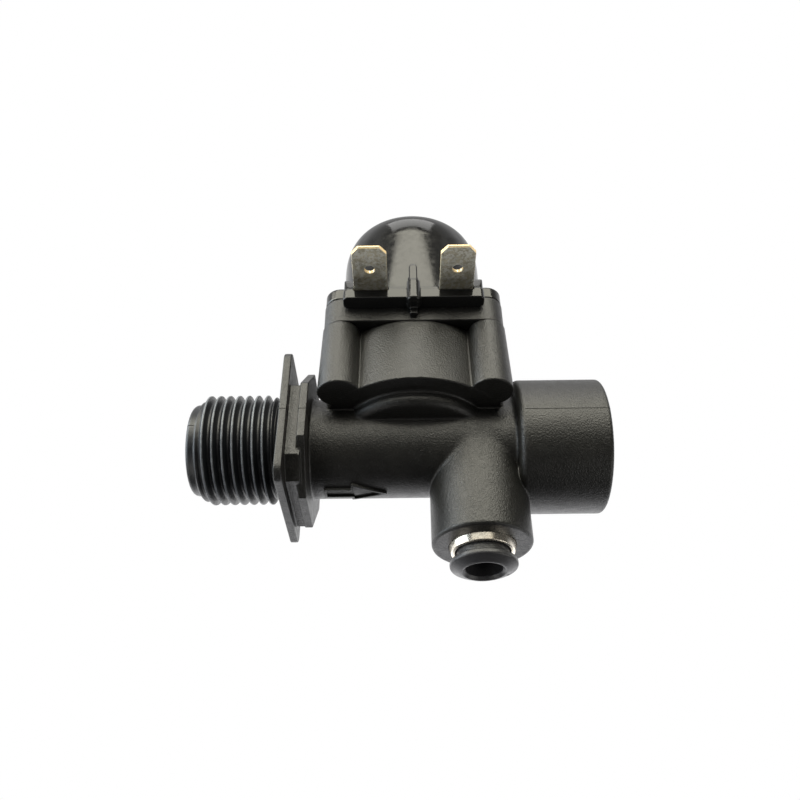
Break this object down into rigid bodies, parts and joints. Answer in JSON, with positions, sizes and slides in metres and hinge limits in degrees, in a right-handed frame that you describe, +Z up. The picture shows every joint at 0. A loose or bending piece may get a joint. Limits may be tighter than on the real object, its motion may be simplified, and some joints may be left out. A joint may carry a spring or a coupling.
{
  "type": "solenoid valve",
  "caption": "Plastic inline solenoid valve with a threaded inlet, a threaded socket outlet, a push-in tube port and a spade-terminal coil.",
  "frame": {"origin": "on the flow axis, at the first crest of the inlet thread, the end that a mating fitting goes onto", "axes": "+X along the flow axis from the inlet towards the outlet socket, +Z up the coil axis (39.1 mm along X from the origin), -Y out along the spade terminals"},
  "size_m": [0.0769, 0.0492, 0.077],
  "materials": {
    "body_plastic": "satin moulded, fine grain",
    "coil_plastic": "semi-gloss moulded",
    "collet_plastic": "gloss moulded",
    "white_plastic": "satin moulded",
    "rubber": "matte",
    "ring_brass": "turned",
    "tinned_brass": "tinned and stamped",
    "copper": "enamelled wire",
    "tape": "polyester film",
    "yoke_steel": "zinc plated",
    "stainless": "turned"
  },
  "bodies": {
    "valve": {"valve_body": "body_plastic", "inlet_strainer": "white_plastic", "diaphragm": "rubber", "bonnet": "body_plastic", "coil_overmould": "coil_plastic", "coil_bobbin": "white_plastic", "coil_winding": "copper", "winding_tape": "tape", "yoke_shell": "yoke_steel", "pole_washer_lower": "yoke_steel", "pole_washer_upper": "yoke_steel", "fixed_core": "stainless", "armature_spring": "stainless", "terminal_left": "tinned_brass", "terminal_right": "tinned_brass", "coil_leads": "copper", "bonnet_screws": "stainless", "port_ring": "ring_brass", "port_oring": "rubber", "port_spacer": "white_plastic"},
    "plunger": {"armature": "stainless", "armature_seal": "rubber"},
    "pilot_disc": {"diaphragm_insert": "white_plastic"},
    "collet": {"release_collet": "collet_plastic", "grab_ring": "stainless"}
  },
  "joints": [
    {"name": "armature_lift", "type": "slide", "parent": "valve", "child": "plunger", "axis": [0, 0, 1], "range_m": [0, 0.0025], "deforming": ["armature_spring"]},
    {"name": "diaphragm_lift", "type": "slide", "parent": "valve", "child": "pilot_disc", "axis": [0, 0, 1], "range_m": [0, 0.0016], "deforming": ["diaphragm"]},
    {"name": "collet_release", "type": "slide", "parent": "valve", "child": "collet", "axis": [0, 0, 1], "range_m": [0, 0.0015]}
  ],
  "couplings": [
    {"joint": "diaphragm_lift", "follows": "armature_lift", "ratio": 0.64}
  ]
}
